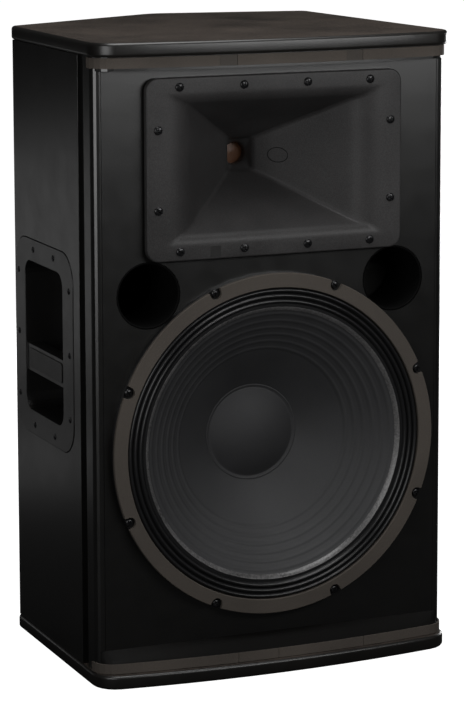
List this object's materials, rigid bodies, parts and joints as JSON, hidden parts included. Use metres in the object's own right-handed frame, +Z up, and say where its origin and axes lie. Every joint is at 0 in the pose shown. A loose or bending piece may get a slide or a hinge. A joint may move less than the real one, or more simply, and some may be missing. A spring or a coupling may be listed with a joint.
{
  "type": "pa speaker cabinet",
  "caption": "Wedge-backed wooden loudspeaker cabinet with a large woofer, a flared horn, ports and side handles, grille removed.",
  "frame": {"origin": "middle of the bounding box at the underside", "axes": "+Z up, -Y out of the front baffle, +X to the right as seen from the front"},
  "size_m": [0.431, 0.4079, 0.7127],
  "materials": {
    "paint": "satin black textured paint over plywood",
    "cap_paint": "speckled brown-black textured paint",
    "raw_ply": "bare plywood",
    "foam_seat": "brown-grey foam strip",
    "black_foam": "matt black foam",
    "horn_plastic": "fine-grained satin plastic",
    "plastic": "satin plastic",
    "badge": "blank satin badge",
    "black_steel": "black coated steel",
    "steel": "zinc-plated steel",
    "ferrite": "bare ferrite",
    "paper": "ribbed paper cone",
    "cloth": "coated cloth",
    "spider_cloth": "resin-dipped cloth",
    "phase_plug": "tan moulded plastic",
    "copper": "copper winding",
    "titanium": "thin formed metal",
    "board": "circuit board",
    "wadding": "fibre wadding",
    "lead": "insulated wire"
  },
  "bodies": {
    "cabinet": {"baffle": "paint", "bottom_cap": "cap_paint", "bottom_foam_centre_left": "foam_seat", "bottom_foam_centre_right": "foam_seat", "bottom_foam_left": "foam_seat", "bottom_foam_right": "foam_seat", "bottom_ledge": "paint", "crossover_board": "board", "crossover_capacitor": "plastic", "crossover_inductor": "copper", "damping_pad": "wadding", "driver_body": "black_steel", "driver_phase_plug": "phase_plug", "driver_rear_cover": "plastic", "horn": "horn_plastic", "horn_driver_lead": "lead", "horn_gasket": "black_foam", "input_plate": "black_steel", "input_socket_1": "plastic", "input_socket_2": "plastic", "left_handle": "plastic", "left_handle_badge": "badge", "left_port_tube": "plastic", "left_side_panel": "paint", "motor_magnet": "ferrite", "motor_top_plate": "steel", "motor_yoke": "steel", "pole_socket": "plastic", "rear_panel": "paint", "right_handle": "plastic", "right_handle_badge": "badge", "right_port_tube": "plastic", "right_side_panel": "paint", "shelf_brace": "raw_ply", "top_cap": "cap_paint", "top_clip_left": "foam_seat", "top_clip_right": "foam_seat", "top_foam_centre": "foam_seat", "top_foam_left": "foam_seat", "top_foam_right": "foam_seat", "top_ledge": "paint", "wedge_panel": "paint", "woofer_basket": "black_steel", "woofer_gasket": "foam_seat", "woofer_lead": "lead", "woofer_screw_1": "black_steel", "woofer_screw_2": "black_steel", "woofer_screw_3": "black_steel", "woofer_screw_4": "black_steel", "woofer_screw_5": "black_steel", "woofer_screw_6": "black_steel", "woofer_screw_7": "black_steel", "woofer_screw_8": "black_steel", "woofer_spider": "spider_cloth", "woofer_surround": "cloth"},
    "woofer_moving": {"woofer_cone": "paper", "woofer_dust_cap": "paper", "voice_coil": "copper"},
    "diaphragm": {"driver_diaphragm": "titanium"}
  },
  "joints": [
    {"name": "woofer_excursion", "type": "slide", "parent": "cabinet", "child": "woofer_moving", "axis": [0, -1, 0], "range_m": [-0.006, 0.006], "stiffness_N_per_m": 5000, "deforming": ["woofer_surround", "woofer_spider"]},
    {"name": "diaphragm_excursion", "type": "slide", "parent": "cabinet", "child": "diaphragm", "axis": [0, -1, 0], "range_m": [-0.0003, 0.0003], "stiffness_N_per_m": 5000}
  ]
}
